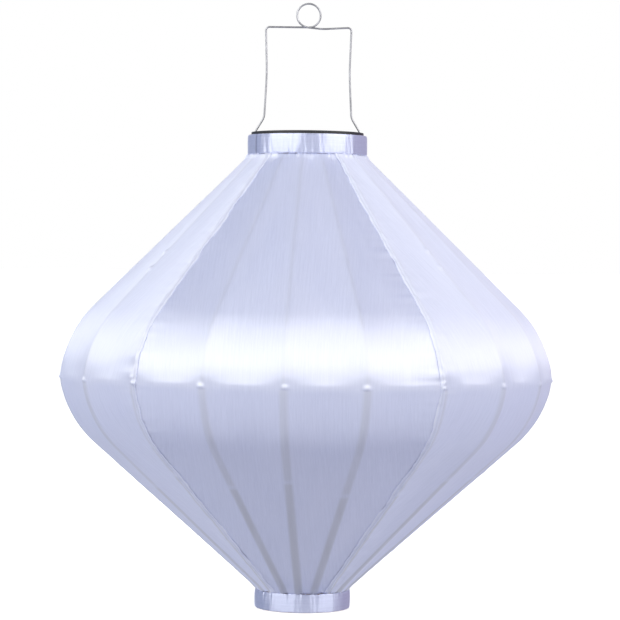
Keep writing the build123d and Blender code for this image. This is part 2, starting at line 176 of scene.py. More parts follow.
# Small things that differ from rib to rib: the lashing's knot under the cloth, and the bamboo's nodes.
KNOT_HEIGHT = rng.uniform(0.85, 1.15, RIB_COUNT) * MM
KNOT_ACROSS = rng.uniform(-1.2, 1.2, RIB_COUNT) * MM
KNOT_DOWN = rng.uniform(-0.8, 1.6, RIB_COUNT) * MM
NODE_UP = CREASE - rng.uniform(125, 160, RIB_COUNT) * MM
NODE_DOWN = CREASE + rng.uniform(88, 112, RIB_COUNT) * MM
NODE_GAP = rng.uniform(11, 19, RIB_COUNT) * MM
NODE_SIDE = rng.choice([-1, 1], RIB_COUNT) * rng.uniform(1.0, 2.6, RIB_COUNT) * MM
NODE_SIZE = rng.uniform(0.0, 0.16, RIB_COUNT)
NODE_SIZE[[3, 8, 13, -3]] = (0.8, 0.5, 0.7, 1.0)  # the ribs whose nodes were left unplaned
NODE_UP[-3] = CREASE - 125 * MM  # a pair of nodes shows plainly on the photo's left shoulder
NODE_GAP[-3] = 19 * MM
NODE_HEIGHT = 1.5 * MM  # of a node of size 1

# How much the cloth moves off its plain shape.
SAG_ABOVE, SAG_BELOW, SAG_EVEN = 1.5 * MM, 1.3 * MM, 0.5 * MM  # drawn in between ribs
PUCKER = 0.52 * MM  # beside a seam
PULL = 0.10 * MM  # beside a plain rib
GATHER = 0.4  # folds that run down from the upper collar, in millimetres
SLACK_BROAD, SLACK_FINE = 0.60, 0.32  # mid gore, in millimetres


def bump(across, along, width, reach):
    """A round bump of height 1."""
    return np.exp(-((across / width) ** 2) - (along / reach) ** 2)


SEAMS = [(FIRST_SEAM + number * PANEL_GORES) % RIB_COUNT for number in range(PANEL_COUNT)]


def gathers(azimuth, length):
    """Folds that the collars hold: puffs under the upper one, and creases above the lower one."""
    from_top, to_bottom = length, LENGTH[-1] - length
    gather = lattice_noise(azimuth * 19, length / (30 * MM), 5)
    gather = gather + 0.7 * lattice_noise(azimuth * 41, length / (14 * MM), 6)
    puff = 0.45 + 0.55 * np.maximum(gather, -0.4)
    upper = np.maximum(gather, -0.3) * np.exp(-from_top / (9 * MM)) * GATHER
    upper = upper + puff * bump(0, from_top - 1.6 * MM, 1, 2.0 * MM)
    return (upper + (0.3 + gather * 0.6) * np.exp(-to_bottom / (6 * MM))) * MM


def relief(azimuth, length, radius):
    """How far the cloth stands off its plain shape, how far off the nearest rib is, and that rib's facts."""
    turn = (azimuth - FIRST_RIB) / PITCH
    nearest = np.rint(turn)
    rib = nearest.astype(int) % RIB_COUNT
    across = (turn - nearest) * PITCH * radius  # signed distance from the nearest rib's line
    off = np.abs(across)
    share = 1 - np.abs(turn - nearest) * 2  # 1 on a rib, 0 in mid gore
    ends = smooth(length / (9 * MM)) * smooth((LENGTH[-1] - length) / (9 * MM))

    # cloth rounds each rib, and is drawn in between ribs where the cage is curved
    rounding = -np.maximum(RIB_HALF - off, 0) ** 2 / (2 * RIB_HALF) * math.tan(PITCH / 2)
    above = np.exp(-(((CREASE - length) / MM - 36) / 30) ** 2)
    below = np.exp(-(((length - CREASE) / MM - 34) / 28) ** 2)
    crease = np.exp(-(((length - CREASE) / MM) / 5) ** 2)
    into_fold = np.maximum(CREASE_HALF - np.abs(length - CREASE), 0)
    rounding = rounding - into_fold**2 / (4 * CREASE_HALF) * CREASE_TURN
    sag = (SAG_ABOVE * above + SAG_BELOW * below + SAG_EVEN) * (1 - 0.8 * crease)
    drawn_in = -sag * (1 - share**2) * ends

    # lumps: the lashing's knot, a second one where a seam crosses the hoop, and the bamboo's nodes
    on_seam = np.isin(rib, SEAMS)
    below_knot = length - CREASE - KNOT_DOWN[rib]
    reach = np.where(below_knot > 0, 1.0, 2.4) * MM
    sideways = (across - KNOT_ACROSS[rib]) / (2.9 * MM)
    lumps = KNOT_HEIGHT[rib] * bump(sideways * np.abs(sideways), below_knot, 1, reach)
    second = bump(across + KNOT_ACROSS[rib], below_knot + 4.6 * MM, 2.0 * MM, 1.5 * MM)
    lumps = lumps + 0.7 * on_seam * KNOT_HEIGHT[rib] * second
    size = NODE_SIZE[rib] * NODE_HEIGHT
    for place in (NODE_UP[rib], NODE_UP[rib] + NODE_GAP[rib]):
        reach = np.where(length > place, 1.1, 3.6) * MM
        lumps = lumps + size * bump(across - NODE_SIDE[rib], length - place, 2.3 * MM, reach)
    lumps = lumps + 0.25 * MM * bump(across, length - NODE_DOWN[rib], 3.2 * MM, 2.2 * MM)

    # puckers run out from the seams, and slack stands in mid gore
    ripple = lattice_noise(length / (7 * MM), rib * 3.7 + np.sign(across), 3)
    ripple = ripple + 0.6 * lattice_noise(length / (3.2 * MM), rib * 5.1 + np.sign(across), 4)
    pucker = on_seam * ripple * np.exp(-off / (9 * MM)) * PUCKER
    pull = ~on_seam * ripple * np.exp(-off / (5 * MM)) * PULL
    wave = lattice_noise(azimuth * 5, length / (60 * MM), 7) * SLACK_BROAD
    wave = wave + lattice_noise(azimuth * 14, length / (28 * MM), 8) * SLACK_FINE
    slack = wave * (1 - share) * MM * ends

    lift = rounding + drawn_in + lumps + pucker + pull + gathers(azimuth, length) + slack
    return lift, off, on_seam, NODE_DOWN[rib]


def skin(azimuth, length, extra=0.0):
    """Points of the skin, distance to the nearest rib, whether it carries a seam, and where its node is."""
    rib_r = np.interp(length, LENGTH, TABLE_R)
    height = np.interp(length, LENGTH, TABLE_Z)
    slope = np.interp(length, LENGTH, TABLE_SLOPE)
    gore = np.floor((azimuth - FIRST_RIB) / PITCH) + 0.5
    middle = FIRST_RIB + gore * PITCH
    radius = rib_r * math.cos(PITCH / 2) / np.cos(azimuth - middle)
    lift, off, on_seam, node = relief(azimuth, length, radius)
    lift = lift + extra
    facing = azimuth + (middle - azimuth) * smooth(off / (6 * MM))
    flat = lift * np.cos(slope)
    x = radius * np.sin(azimuth) + flat * np.sin(facing)
    y = -radius * np.cos(azimuth) - flat * np.cos(facing)
    z = height + lift * np.sin(slope)
    return np.stack([x, y, z], -1), off, on_seam, node


LAP_LIFT = 0.42 * MM  # how far it stands off the panel below
STITCH = 3.6 * MM  # from one stitch to the next
STITCH_LINE = 1.5 * MM  # from the rib's line to the row of stitches
STITCH_PULL = 0.34 * MM
COLUMNS_PER_GORE = 30
LAP_COLUMNS = (0.7, 1.4, 2.1, 2.8, 3.3, 3.7)  # millimetres past the rib's line

# How wide the painted shadow of a rib is on the cloth, standing for the rib seen against light through it: a
# band below the crease, a fine line above.
RIB_SHADOW_BAND_HALF = 3.3 * MM
RIB_SHADOW_LINE_HALF = 1.5 * MM


def lap_azimuths(edge, side, number):
    """Columns from just past the seam's line out to the frayed edge, rows by columns."""
    over = np.array(LAP_COLUMNS) * MM
    rib_r = np.interp(ROWS, LENGTH, TABLE_R)[:, None]
    wander = 0.20 * lattice_noise(ROWS / (11 * MM), number + 3 * side, 20)
    fray = 1 + wander + 0.09 * lattice_noise(ROWS / (3.4 * MM), number + 3 * side, 21)
    return edge + side * over[None, :] * fray[:, None] / rib_r


def panel(number):
    """One satin panel, from seam rib to seam rib, with a lap past each end that has one."""
    first_rib = FIRST_SEAM + number * PANEL_GORES
    start = FIRST_RIB + first_rib * PITCH
    end = start + PANEL_GORES * PITCH
    centre = (start + end) / 2
    down = ROWS[:, None]
    even = np.linspace(0, 1, COLUMNS_PER_GORE + 1)[:-1]
    eased = 0.35 * even + 0.65 * (0.5 - 0.5 * np.cos(math.pi * even))
    turns = np.concatenate([*(eased + gore for gore in range(PANEL_GORES)), [PANEL_GORES]])
    rib_r = np.interp(ROWS, LENGTH, TABLE_R)[:, None]
    columns = [start + turns[None, :] * PITCH + 0 * rib_r]
    before, after = PANEL_LAPS[number]
    if before:
        columns.insert(0, lap_azimuths(start, -1, number)[:, ::-1])
    if after:
        columns.append(lap_azimuths(end, 1, number))
    azimuth = np.concatenate(columns, axis=1)
    past = np.maximum(azimuth - end if after else -1, start - azimuth if before else -1) * rib_r
    lifted = LAP_LIFT * smooth((past + 3 * MM) / (3.5 * MM))
    lifted = lifted * (1 - 0.6 * smooth((past - 2.8 * MM) / (0.9 * MM)))
    stitch = 0.65 + 0.35 * np.cos(2 * math.pi * down / STITCH)
    lifted = lifted - STITCH_PULL * stitch * np.exp(-(((past - STITCH_LINE) / (0.55 * MM)) ** 2))
    points, off, on_seam, node = skin(azimuth, down + 0 * azimuth, lifted)
    sine = np.sin(np.interp(ROWS, LENGTH, TABLE_SLOPE))[:, None]
    spread = (azimuth - centre) * sine
    uv = np.stack([rib_r * np.sin(spread) / sine, rib_r * (1 - np.cos(spread)) / sine - down], -1)
    double = smooth((past + 0.6 * MM) / (0.8 * MM))
    # Painted shadow of each rib seen through the cloth: a band below the crease, a fine line above.
    band = np.exp(-((off / RIB_SHADOW_BAND_HALF) ** 6))
    line = np.exp(-((off / RIB_SHADOW_LINE_HALF) ** 2))
    # Lifts the rib's painted shadow a little just above its lower bamboo node.
    shadow_lift_above_node = bump(0, down - node + 3 * MM, 1, 2.4 * MM)
    piece = grid_mesh(
        f"satin_panel_{number + 1}_cloth",
        points,
        uv=uv,
        attributes={
            # rib holds the rib's painted shadow, kept off the doubled lap.
            "rib": np.where(down > CREASE, band, line) * (1 - double),
            "seam": np.maximum(double, on_seam * np.exp(-off / (4 * MM)) * 0.4),
            "hem": smooth((past - 2.7 * MM) / (0.8 * MM)),
            # stitch marks a painted shade line along the stitch groove.
            "stitch": np.exp(-(((past - STITCH_LINE) / (0.5 * MM)) ** 2)),
            # down, drop and node make the rib's painted shadow deeper below the crease, towards the bottom
            # and below the lower node.
            "down": smooth((down - CREASE) / (2 * MM)),
            "shadow_drop": np.clip((down - CREASE) / (LENGTH[-1] - CREASE), 0, 1),
            "node": smooth((down - node) / (2 * MM) + 0.5) - 1.4 * shadow_lift_above_node,
        },
    )
    edges = []
    if before:
        edges.append(frayed_edge(f"seam_edge_{number + 1}_first", points[:, 0], number))
    if after:
        edges.append(frayed_edge(f"seam_edge_{number + 1}_last", points[:, -1], number + 9))
    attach(piece, "lantern")
    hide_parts(f"satin_panel_{number + 1}")
    return piece, edges


TUBE_SIDES = 6


def tube_mesh(name, path, radius):
    """A tube round a path of points, with a radius for each."""
    path = np.asarray(path, float)
    ahead = np.gradient(path, axis=0)
    ahead /= np.linalg.norm(ahead, axis=1, keepdims=True)
    outward = path * (1, 1, 0) + (1e-6, 0, 0)
    side = np.cross(ahead, outward)
    side /= np.linalg.norm(side, axis=1, keepdims=True)
    up = np.cross(side, ahead)
    turn = np.linspace(0, 2 * math.pi, TUBE_SIDES + 1)[:-1]
    around = np.cos(turn)[None, :, None] * side[:, None] + np.sin(turn)[None, :, None] * up[:, None]
    return grid_mesh(name, path[:, None] + radius[:, None, None] * around, closed=True)


def frayed_edge(name, line, seed):
    """The cut edge's rolled threads: a thin uneven bead along the lap."""
    steps = np.arange(len(line)) * 1.0
    thick = 0.19 + 0.05 * lattice_noise(steps / 7, seed, 31) + 0.08 * lattice_noise(steps / 2.3, seed, 32)
    outward = line * (1, 1, 0)
    outward = outward / np.linalg.norm(outward, axis=1, keepdims=True)
    shift = 0.05 + 0.12 * lattice_noise(steps / 4, seed, 33)
    bead = tube_mesh(name, line + outward * shift[:, None] * MM, thick * MM)
    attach(bead, "lantern")
    return bead


COLLAR_LAP = 5 * MM


def collar(node, lap_at, hem_down, seed):
    """A satin band round a ring, folded in at both edges, with its ends lapped at one place."""
    low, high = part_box(node)
    radius = high.x
    round_trip = 2 * math.pi * radius
    share = np.linspace(0, 1, 33)
    wide = np.concatenate([[-0.03, -0.012], share, [1.012, 1.03]])
    edge = np.minimum(share, 1 - share) * (high.z - low.z)
    round_in = -0.35 * MM * np.exp(-((edge / (0.7 * MM)) ** 2))
    round_in = round_in + 0.30 * MM * (1 - (2 * share - 1) ** 2)
    round_in = np.concatenate([[-1.0 * MM, -0.75 * MM], round_in, [-0.75 * MM, -1.0 * MM]])[:, None]
    azimuth = math.radians(lap_at) + np.linspace(0, 2 * math.pi + COLLAR_LAP / radius, 500)[None, :]
    along = (azimuth - math.radians(lap_at)) * radius
    over = smooth((along - round_trip + 2.5 * MM) / (2.5 * MM))
    ripple = 0.16 * lattice_noise(azimuth * 9, wide[:, None] * 0.8, seed)
    ripple = ripple + 0.10 * lattice_noise(azimuth * 31, wide[:, None] * 1.6, seed + 1)
    hem = lattice_noise(azimuth * 16, 0 * azimuth, seed + 2)
    hem = hem + 0.6 * lattice_noise(azimuth * 43, 0 * azimuth, seed + 3)
    at_hem = 1 - wide[:, None] if hem_down else wide[:, None]
    out = radius + round_in + ripple * MM + over * 0.5 * MM + 0.35 * MM * hem * at_hem**3
    wave = 0.30 * MM * hem * at_hem**2
    z = low.z + np.clip(wide, 0, 1)[:, None] * (high.z - low.z) + wave * (1 if hem_down else -1)
    z = np.clip(z, low.z, high.z)
    points = np.stack([out * np.sin(azimuth), -out * np.cos(azimuth), z], -1)
    uv = np.stack([along + 0 * z, z], -1)
    to_end = np.minimum(along, np.abs(along - round_trip - COLLAR_LAP))
    near = np.exp(-((to_end / (0.9 * MM)) ** 2))
    piece = grid_mesh(node + "_cloth", points, uv=uv, attributes={"seam": near + 0 * z})
    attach(piece, "lantern")
    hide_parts(node)
    return piece


# ---------------------------------------------------------------- materials


class Nodes:
    """A short way to write a material's node tree."""

    def __init__(self, name):
        self.material = bpy.data.materials.new(name)
        self.material.use_nodes = True
        self.tree = self.material.node_tree
        self.tree.nodes.clear()
        self.output = self.tree.nodes.new("ShaderNodeOutputMaterial")

    def add(self, kind, inputs=None, **settings):
        node = self.tree.nodes.new(kind)
        for key, value in settings.items():
            setattr(node, key, value)
        for key, value in (inputs or {}).items():
            self.put(node.inputs[key], value)
        return node

    def put(self, socket, value):
        if isinstance(value, bpy.types.NodeSocket):
            self.tree.links.new(value, socket)
        else:
            socket.default_value = value

    def attribute(self, name):
        return self.add("ShaderNodeAttribute", attribute_name=name).outputs["Fac"]

    def scaled(self, source, scale):
        return self.add("ShaderNodeMapping", {"Vector": source, "Scale": scale}).outputs["Vector"]

    def place(self, scale=(1, 1, 1)):
        """Object coordinates in metres, scaled."""
        return self.scaled(self.add("ShaderNodeTexCoord").outputs["Object"], scale)

    def cloth(self, scale):
        """The flat cloth's own coordinates in metres, scaled."""
        return self.scaled(self.add("ShaderNodeUVMap", uv_map="cloth").outputs["UV"], scale)

    def round_place(self, scale):
        """Angle round the axis in radians, height and distance from the axis in metres, scaled."""
        apart = self.add("ShaderNodeSeparateXYZ", {0: self.place()})
        angle = self.math("ARCTAN2", apart.outputs["Y"], apart.outputs["X"])
        flat = self.add("ShaderNodeCombineXYZ", {0: apart.outputs["X"], 1: apart.outputs["Y"]})
        out = self.size(flat.outputs[0])
        source = self.add("ShaderNodeCombineXYZ", {0: angle, 1: apart.outputs["Z"], 2: out}).outputs[0]
        return self.scaled(source, scale)

    def size(self, vector):
        return self.add("ShaderNodeVectorMath", {0: vector}, operation="LENGTH").outputs["Value"]

    def noise(self, vector, detail=2.0, roughness=0.5, distortion=0.0):
        """Noise with one cell to a unit of the vector."""
        inputs = {"Vector": vector, "Scale": 1.0, "Detail": detail, "Roughness": roughness}
        return self.add("ShaderNodeTexNoise", {**inputs, "Distortion": distortion}).outputs["Fac"]

    def math(self, operation, a, b=0.5, clamp=False):
        node = self.add("ShaderNodeMath", {0: a, 1: b}, operation=operation, use_clamp=clamp)
        return node.outputs[0]

    def span(self, value, low, high, to_low=0.0, to_high=1.0):
        inputs = {"Value": value, "From Min": low, "From Max": high, "To Min": to_low, "To Max": to_high}
        return self.add("ShaderNodeMapRange", inputs).outputs["Result"]

    def mix(self, share, a, b):
        node = self.add("ShaderNodeMix", data_type="RGBA")
        self.put(node.inputs[0], share)
        for socket, colour in ((node.inputs[6], a), (node.inputs[7], b)):
            self.put(socket, (*colour, 1) if isinstance(colour, tuple) and len(colour) == 3 else colour)
        return node.outputs[2]

    def bump(self, height, strength, distance=0.1 * MM):
        inputs = {"Height": height, "Strength": strength, "Distance": distance}
        return self.add("ShaderNodeBump", inputs).outputs["Normal"]

    def principled(self, **inputs):
        named = {key.replace("_", " "): value for key, value in inputs.items()}
        return self.add("ShaderNodeBsdfPrincipled", named).outputs[0]

    def finish(self, shader):
        self.put(self.output.inputs["Surface"], shader)
        return self.material


WARP_LOW = (0.485, 0.53, 0.775)
WARP_HIGH = (0.575, 0.62, 0.865)
WARP_BROAD = (0.58, 0.605, 0.82)
ALONG_V, ALONG_U = 0.0, 0.25  # which of the cloth's directions its threads run in, as turns of the tangent


def satin_threads(n, threads_along):
    """Colour, roughness and normal of warp-faced satin."""

    def streaks(across, along, detail):
        """Noise with so many cells to a metre across the warp threads and along them."""
        scale = (along, across, 1) if threads_along == ALONG_U else (across, along, 1)
        return n.noise(n.cloth(scale), detail=detail)

    warp = streaks(2600, 90, 3)
    slub = streaks(700, 20, 2)
    weft = streaks(160, 1500, 1)
    broad = n.noise(n.cloth((17, 11, 1)), detail=2)
    threads = n.math("ADD", n.math("MULTIPLY", warp, 0.55), n.math("MULTIPLY", slub, 0.45))
    colour = n.mix(n.span(threads, 0.38, 0.62), WARP_LOW, WARP_HIGH)
    colour = n.mix(n.span(broad, 0.3, 0.7, 0, 0.35), colour, WARP_BROAD)
    rough = n.span(threads, 0.3, 0.7, 0.46, 0.54)
    grain = n.math("ADD", threads, n.math("MULTIPLY", weft, 0.3))
    return colour, rough, n.bump(grain, 0.45, 0.12 * MM)


def satin_shader(n, colour, rough, normal, threads_along, metallic=0.0, through=0.12):
    """Satin's sheen lies across its threads, and some light comes through."""
    tangent = n.add("ShaderNodeTangent", direction_type="UV_MAP", uv_map="cloth").outputs[0]
    face = n.principled(
        Base_Color=colour,
        Roughness=rough,
        Normal=normal,
        Tangent=tangent,
        Anisotropic=0.95,
        Anisotropic_Rotation=threads_along,
        IOR=2.6,
        Metallic=metallic,
        Specular_IOR_Level=1.0,
        Sheen_Weight=0.08,
        Sheen_Roughness=0.4,
    )
    behind = n.add("ShaderNodeBsdfTranslucent", {"Color": colour, "Normal": normal}).outputs[0]
    return n.add("ShaderNodeMixShader", {"Fac": through, 1: face, 2: behind}).outputs[0]


def panel_material():
    """Panel satin, with the ribs' painted shadows, the seams and a painted dark line along the stitches."""
    n = Nodes("satin")
    colour, rough, normal = satin_threads(n, ALONG_V)
    rib, seam = n.attribute("rib"), n.attribute("seam")
    down, shadow_drop = n.attribute("down"), n.attribute("shadow_drop")
    # Painted shade: the rib's painted shadow is deeper below the crease, towards the bottom and below the
    # lower bamboo node, and lifted just above that node.
    rib_shadow_depth = n.math("ADD", n.math("MULTIPLY", down, 0.13), n.math("MULTIPLY", shadow_drop, 0.16))
    rib_shadow_depth = n.math("ADD", rib_shadow_depth, n.math("MULTIPLY", n.attribute("node"), 0.11))
    uneven = n.span(n.noise(n.cloth((90, 14, 1))), 0.3, 0.7, 0.8, 1.15)
    # Mixes the near-black painted shadow of each rib, seen through the cloth, into the satin's colour.
    rib_shadow = n.math("MULTIPLY", n.math("MULTIPLY", rib, n.math("ADD", rib_shadow_depth, 0.09)), uneven, clamp=True)
    colour = n.mix(rib_shadow, colour, (0.21, 0.21, 0.22))
    colour = n.mix(n.math("MULTIPLY", seam, 0.14), colour, (0.76, 0.78, 0.88))
    colour = n.mix(n.math("MULTIPLY", n.attribute("hem"), 0.4), colour, (0.80, 0.82, 0.92))
    # Painted shade: a dark line along the stitch groove.
    colour = n.mix(n.math("MULTIPLY", n.attribute("stitch"), 0.32), colour, (0.22, 0.24, 0.40))
    return n.finish(satin_shader(n, colour, rough, normal, ALONG_V))


def collar_material():
    """Collar satin: shinier than the panels', and backed by the ring."""
    n = Nodes("satin_collar")
    colour, rough, normal = satin_threads(n, ALONG_U)
    colour = n.mix(n.math("MULTIPLY", n.attribute("seam"), 0.35), colour, (0.8, 0.82, 0.92))
    rough = n.math("SUBTRACT", rough, 0.08)
    return n.finish(satin_shader(n, colour, rough, normal, ALONG_U, metallic=0.45, through=0.02))


def edge_material():
    """Loose satin threads at a cut edge."""
    n = Nodes("satin_edge")
    grain = n.noise(n.place((1800, 1800, 700)), detail=3)
    colour = n.mix(n.span(grain, 0.3, 0.7), (0.46, 0.49, 0.72), (0.68, 0.70, 0.88))
    normal = n.bump(grain, 0.6)
    return n.finish(n.principled(Base_Color=colour, Roughness=0.55, Sheen_Weight=0.4, Normal=normal))


def bamboo():
    """Split bamboo: long fibres, broad stains, and a dark ring where a node crosses."""
    n = Nodes("bamboo")
    fibre = n.noise(n.round_place((240, 14, 60)), detail=4, roughness=0.65)
    broad = n.noise(n.round_place((9, 9, 4)), detail=2)
    colour = n.mix(n.span(fibre, 0.3, 0.7), (0.42, 0.27, 0.12), (0.68, 0.50, 0.27))
    colour = n.mix(n.span(broad, 0.35, 0.7, 0, 0.5), colour, (0.55, 0.44, 0.20))
    waves = n.noise(n.round_place((0.8, 9, 0)), detail=0)
    joint = n.math("LESS_THAN", n.math("ABSOLUTE", n.math("SUBTRACT", waves, 0.5)), 0.006)
    colour = n.mix(n.math("MULTIPLY", joint, 0.6), colour, (0.24, 0.14, 0.06))
    rough = n.span(fibre, 0.3, 0.7, 0.42, 0.62)
    return n.finish(n.principled(Base_Color=colour, Roughness=rough, Normal=n.bump(fibre, 0.5, 0.15 * MM)))


def turned_wood():
    """Pale turned wood with grain, pores and lathe marks."""
    n = Nodes("turned_wood")
    grain = n.noise(n.place((60, 60, 420)), detail=5, roughness=0.6, distortion=0.6)
    pores = n.noise(n.place((900, 900, 250)), detail=2)
    colour = n.mix(n.span(grain, 0.3, 0.7), (0.36, 0.22, 0.11), (0.60, 0.43, 0.25))
    colour = n.mix(n.span(pores, 0.6, 0.75, 0, 0.5), colour, (0.25, 0.15, 0.08))
    lathe = n.noise(n.round_place((0.6, 2600, 2600)), detail=1)
    height = n.math("ADD", n.math("MULTIPLY", grain, 0.5), lathe)
    return n.finish(n.principled(Base_Color=colour, Roughness=0.62, Normal=n.bump(height, 0.4)))


def metal(name, dark, light, rough_low, rough_high):
    """Bare metal: drawn or plated, with faint dull patches."""
    n = Nodes(name)
    patches = n.noise(n.place((160, 160, 160)), detail=3)
    fine = n.noise(n.place((2700, 2700, 900)), detail=2)
    colour = n.mix(n.span(patches, 0.3, 0.7), dark, light)
    rough = n.span(patches, 0.3, 0.7, rough_low, rough_high)
    rough = n.math("ADD", rough, n.math("MULTIPLY", fine, 0.06))
    normal = n.bump(fine, 0.25, 0.04 * MM)
    return n.finish(n.principled(Base_Color=colour, Metallic=1.0, Roughness=rough, Normal=normal))


def thread():
    """Twisted white cotton."""
    n = Nodes("cotton_thread")
    inputs = {"Vector": n.place(), "Scale": 900.0, "Distortion": 1.5}
    twist = n.add("ShaderNodeTexWave", inputs, bands_direction="DIAGONAL").outputs["Fac"]
    fuzz = n.noise(n.place((2500, 2500, 2500)), detail=2)
    colour = n.mix(n.math("MULTIPLY", twist, fuzz), (0.70, 0.68, 0.70), (0.90, 0.89, 0.90))
    normal = n.bump(n.math("ADD", twist, fuzz), 0.6)
    return n.finish(n.principled(Base_Color=colour, Roughness=0.8, Sheen_Weight=0.3, Normal=normal))


def moulded(name, dark, light, rough=0.45, size=1500):
    """Moulded plastic or rubber with a fine texture, rubbed a little smoother in patches."""
    n = Nodes(name)
    texture = n.noise(n.place((size, size, size)), detail=3, roughness=0.6)
    patches = n.noise(n.place((45, 45, 45)), detail=3)
    colour = n.mix(n.span(patches, 0.3, 0.7), dark, light)
    shine = n.span(patches, 0.3, 0.7, rough - 0.07, rough + 0.05)
    shine = n.math("ADD", shine, n.math("MULTIPLY", texture, 0.06))
    normal = n.bump(texture, 0.35, 0.08 * MM)
    return n.finish(n.principled(Base_Color=colour, Roughness=shine, Normal=normal))


def stripes(n, coordinate, spacing, width, offset=0.0):
    """1 on lines of a width at a spacing, in metres."""
    turns = n.math("ADD", n.math("MULTIPLY", coordinate, 1 / spacing), 0.5 + offset / spacing)
    from_line = n.math("ABSOLUTE", n.math("SUBTRACT", n.math("FRACT", turns), 0.5))
    return n.math("LESS_THAN", from_line, width / spacing / 2)


def solar_silicon():
    """Dark crystals under fine pale fingers, two wide bars and the cuts between the cells."""
    n = Nodes("solar_silicon")
    apart = n.add("ShaderNodeSeparateXYZ", {0: n.place()})
    x, y = apart.outputs["X"], apart.outputs["Y"]
    crystal = n.add("ShaderNodeTexVoronoi", {"Vector": n.place((230, 230, 1)), "Scale": 1.0})
    crystal = crystal.outputs["Color"]
    crystal = n.add("ShaderNodeSeparateColor", {0: crystal}).outputs[0]
    colour = n.mix(crystal, (0.006, 0.010, 0.045), (0.012, 0.022, 0.095))
    fingers = stripes(n, y, 1.6 * MM, 0.11 * MM)
    bars = stripes(n, x, 19 * MM, 1.1 * MM, 9.5 * MM)
    cuts = stripes(n, x, 9.5 * MM, 0.22 * MM, 4.75 * MM)
    colour = n.mix(n.math("MULTIPLY", fingers, 0.8), colour, (0.42, 0.44, 0.48))
    colour = n.mix(bars, colour, (0.55, 0.56, 0.58))
    colour = n.mix(n.math("MULTIPLY", cuts, 0.85), colour, (0.01, 0.01, 0.012))
    rough = n.span(n.noise(n.place((90, 90, 90))), 0.3, 0.7, 0.22, 0.32)
    return n.finish(n.principled(Base_Color=colour, Roughness=rough, Coat_Weight=0.6, Coat_Roughness=0.08))


def clear(name, tint, cloudy, rough):
    """Clear or frosted plastic, as a share of surface over what is behind it."""
    n = Nodes(name)
    haze = n.noise(n.place((120, 120, 120)), detail=3)
    face = n.principled(
        Base_Color=n.mix(n.span(haze, 0.3, 0.7), tint, tuple(c * 0.96 for c in tint)),
        Roughness=n.span(haze, 0.3, 0.7, rough, rough + 0.06),
        Normal=n.bump(haze, 0.15),
    )
    behind = n.add("ShaderNodeBsdfTransparent", {"Color": (*tint, 1)}).outputs[0]
    share = n.span(haze, 0.3, 0.7, cloudy * 0.9, cloudy * 1.1)
    return n.finish(n.add("ShaderNodeMixShader", {"Fac": share, 1: behind, 2: face}).outputs[0])


def board_green():
    """Green circuit board with paler copper runs."""
    n = Nodes("board_green")
    apart = n.add("ShaderNodeSeparateXYZ", {0: n.place()})
    lines = stripes(n, apart.outputs["X"], 2.4 * MM, 0.5 * MM)
    runs = n.math("MULTIPLY", lines, n.noise(n.place((200, 200, 1))))
    colour = n.mix(n.span(runs, 0.45, 0.5), (0.015, 0.10, 0.04), (0.05, 0.24, 0.10))
    normal = n.bump(runs, 0.4, 0.05 * MM)
    return n.finish(n.principled(Base_Color=colour, Roughness=0.35, Coat_Weight=0.4, Normal=normal))


def battery_sleeve():
    """A green shrunk sleeve with one pale band."""
    n = Nodes("battery_sleeve")
    apart = n.add("ShaderNodeSeparateXYZ", {0: n.place()})
    from_band = n.math("ABSOLUTE", n.math("ADD", apart.outputs["X"], 7 * MM))
    band = n.math("LESS_THAN", from_band, 4 * MM)
    wrinkle = n.noise(n.place((500, 120, 120)), detail=2)
    colour = n.mix(band, (0.03, 0.20, 0.10), (0.72, 0.74, 0.70))
    rough = n.span(wrinkle, 0.3, 0.7, 0.25, 0.4)
    return n.finish(n.principled(Base_Color=colour, Roughness=rough, Normal=n.bump(wrinkle, 0.3)))


def node_materials():
    """One material for each of the record's slots that CAD nodes still show."""
    return {
        "bamboo": bamboo(),
        "turned_wood": turned_wood(),
        "steel_wire": metal("steel_wire", (0.30, 0.30, 0.32), (0.46, 0.46, 0.49), 0.26, 0.40),
        "cotton_thread": thread(),
        "black_plastic": moulded("black_plastic", (0.012, 0.012, 0.014), (0.020, 0.020, 0.023)),
        "switch_plastic": moulded("switch_plastic", (0.045, 0.045, 0.05), (0.07, 0.07, 0.075), 0.4),
        "screw_steel": metal("screw_steel", (0.40, 0.40, 0.41), (0.56, 0.56, 0.57), 0.22, 0.34),
        "seal_rubber": moulded("seal_rubber", (0.02, 0.02, 0.02), (0.035, 0.035, 0.035), 0.7, 900),
        "solar_silicon": solar_silicon(),
        "clear_cover": clear("clear_cover", (0.93, 0.95, 0.97), 0.10, 0.06),
        "board_green": board_green(),
        "lead_insulation": moulded("lead_insulation", (0.30, 0.02, 0.02), (0.42, 0.04, 0.03), 0.4),
        "led_epoxy": clear("led_epoxy", (0.95, 0.93, 0.80), 0.35, 0.08),
        "frosted_lens": clear("frosted_lens", (0.93, 0.93, 0.91), 0.75, 0.45),
        "battery_sleeve": battery_sleeve(),
        "contact_steel": metal("contact_steel", (0.55, 0.53, 0.48), (0.70, 0.68, 0.62), 0.2, 0.32),
    }


def dress_nodes(finishes):
    """Give each CAD node that still shows the material of its slot."""
    for part in frame["record"]["subparts"]:
        if part["material_slot"] in finishes:
            slots = frame["nodes"][part["node"]].data.materials
            slots.clear()
            slots.append(finishes[part["material_slot"]])


# ---------------------------------------------------------------- stage, light and camera


